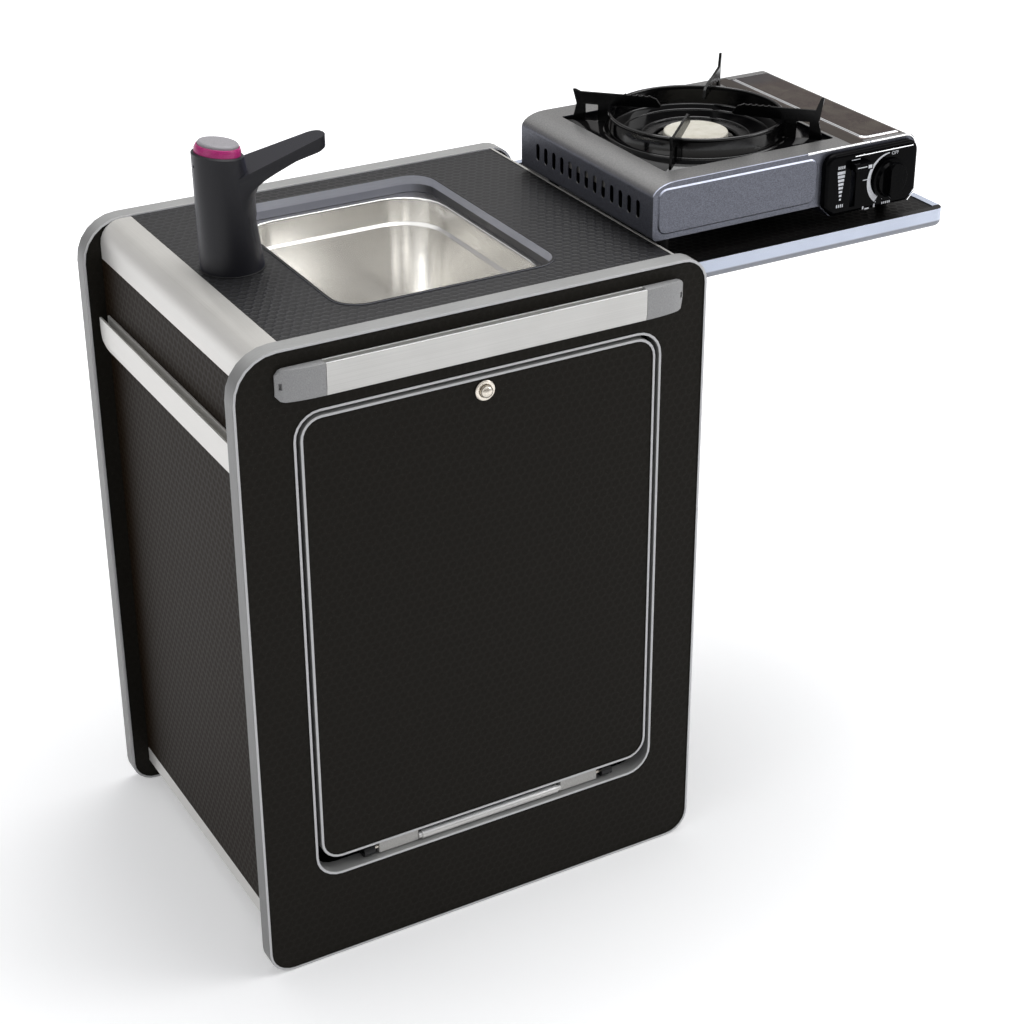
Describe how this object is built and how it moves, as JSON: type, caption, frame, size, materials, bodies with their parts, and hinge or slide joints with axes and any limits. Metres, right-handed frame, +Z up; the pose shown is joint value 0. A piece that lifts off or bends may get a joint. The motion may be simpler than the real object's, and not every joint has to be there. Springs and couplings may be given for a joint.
{
  "type": "campervan kitchen pod",
  "caption": "Free-standing campervan kitchen cupboard with worktop sink, pump tap, drop-down table leaf, hanging rails and a hooked-on side shelf that carries a portable gas stove.",
  "frame": {"origin": "centre of the whole footprint, rails and side shelf included, at floor level", "axes": "+Z up, +X to the side shelf, +Y from the front panel back to the rear panel"},
  "size_m": [0.882, 0.446, 0.8731],
  "materials": {
    "film_face": "fine embossed brown-black film on birch plywood",
    "edge_band": "satin grey edge moulding",
    "aluminium": "satin anodised",
    "grey_plastic": "fine grain grey",
    "black_plastic": "black",
    "painted_steel": "black powder coat",
    "steel": "nickel-plated",
    "sink_steel": "drawn stainless steel",
    "tap_plastic": "charcoal, fine grain",
    "tap_ring": "magenta",
    "tap_button": "grey",
    "white_tank": "natural white polyethylene",
    "blue_cap": "blue",
    "hose": "grey",
    "stove_paint": "blue-grey metallic lacquer",
    "black_enamel": "gloss black enamel",
    "mirror_steel": "mirror bright",
    "burner_cream": "cream enamel",
    "cast_alloy": "dark cast alloy",
    "cartridge_paint": "blue lacquered tinplate"
  },
  "bodies": {
    "cabinet": {"base_board": "film_face", "drain_fitting": "steel", "drain_hose": "hose", "fresh_water_canister": "white_tank", "fresh_water_canister_cap": "blue_cap", "front_hanging_rail": "aluminium", "front_panel": "film_face", "front_panel_edge_band": "edge_band", "front_rail_cap_left": "grey_plastic", "front_rail_cap_right": "grey_plastic", "hinge_bracket_left": "black_plastic", "hinge_bracket_right": "black_plastic", "left_bottom_profile": "aluminium", "left_corner_profile": "aluminium", "left_hanging_rail": "aluminium", "left_side_board": "film_face", "opening_edge_band": "edge_band", "rear_panel": "film_face", "rear_panel_edge_band": "edge_band", "right_bottom_profile": "aluminium", "right_hanging_rail": "aluminium", "right_side_board": "film_face", "sink_bowl": "sink_steel", "sink_cutout_band": "edge_band", "sink_holder_front": "aluminium", "sink_holder_rear": "aluminium", "tap_body": "tap_plastic", "tap_ring": "tap_ring", "waste_water_canister": "white_tank", "waste_water_canister_cap": "grey_plastic", "water_hose": "hose", "worktop": "film_face", "worktop_edge_band": "aluminium"},
    "table_leaf": {"table_leaf": "film_face", "leaf_edge_band": "edge_band", "hinge_block_left": "grey_plastic", "hinge_block_right": "grey_plastic", "hinge_pin_left": "steel", "hinge_pin_right": "steel", "leaf_hook_bar": "aluminium", "lock_case": "steel"},
    "lock_button": {"lock_button": "steel"},
    "lock_bolt": {"lock_bolt": "steel"},
    "tap_button": {"tap_button": "tap_button"},
    "side_shelf": {"side_shelf": "film_face", "shelf_edge_section": "aluminium", "shelf_hook_strip": "aluminium", "shelf_console_front": "painted_steel", "shelf_console_rear": "painted_steel"},
    "gas_stove": {"stove_case": "stove_paint", "stove_floor": "stove_paint", "burner_head": "cast_alloy", "burner_cap": "burner_cream", "gas_cartridge": "cartridge_paint", "gas_regulator": "cast_alloy", "control_panel": "black_plastic"},
    "drip_pan": {"drip_pan_with_prongs": "black_enamel"},
    "cartridge_lid": {"cartridge_lid": "mirror_steel"},
    "gas_knob": {"gas_knob": "black_plastic"},
    "cartridge_lever": {"cartridge_lever": "black_plastic"}
  },
  "joints": [
    {"name": "table_leaf_hinge", "type": "hinge", "parent": "cabinet", "child": "table_leaf", "pos_m": [-0.1685, -0.20255, 0.1185], "axis": [1, 0, 0], "range_deg": [0, 90]},
    {"name": "lock_button_slide", "type": "slide", "parent": "table_leaf", "child": "lock_button", "axis": [0, 1, 0], "range_m": [0, 0.008]},
    {"name": "lock_bolt_slide", "type": "slide", "parent": "table_leaf", "child": "lock_bolt", "axis": [0, 0, 1], "range_m": [0, 0.012]},
    {"name": "tap_button_slide", "type": "slide", "parent": "cabinet", "child": "tap_button", "axis": [-0.1478, 0, -0.989], "range_m": [0, 0.002], "stiffness_N_per_m": 800, "springref_m": -0.0005},
    {"name": "side_shelf_lift", "type": "slide", "parent": "cabinet", "child": "side_shelf", "axis": [0, 0, 1], "range_m": [0, 0.02]},
    {"name": "gas_stove_lift", "type": "slide", "parent": "side_shelf", "child": "gas_stove", "axis": [0, 0, 1], "range_m": [0, 0.1]},
    {"name": "drip_pan_lift", "type": "slide", "parent": "gas_stove", "child": "drip_pan", "axis": [0, 0, 1], "range_m": [0, 0.03]},
    {"name": "cartridge_lid_hinge", "type": "hinge", "parent": "gas_stove", "child": "cartridge_lid", "pos_m": [0.4068, -0.02205, 0.7715], "axis": [0, 1, 0], "range_deg": [0, 95]},
    {"name": "gas_knob_turn", "type": "hinge", "parent": "gas_stove", "child": "gas_knob", "pos_m": [0.3687, -0.16105, 0.7591], "axis": [0, -1, 0], "range_deg": [0, 190]},
    {"name": "cartridge_lever_slide", "type": "slide", "parent": "gas_stove", "child": "cartridge_lever", "axis": [0, 0, -1], "range_m": [0, 0.043]}
  ],
  "couplings": [
    {"joint": "lock_bolt_slide", "follows": "lock_button_slide", "ratio": 1.5}
  ]
}
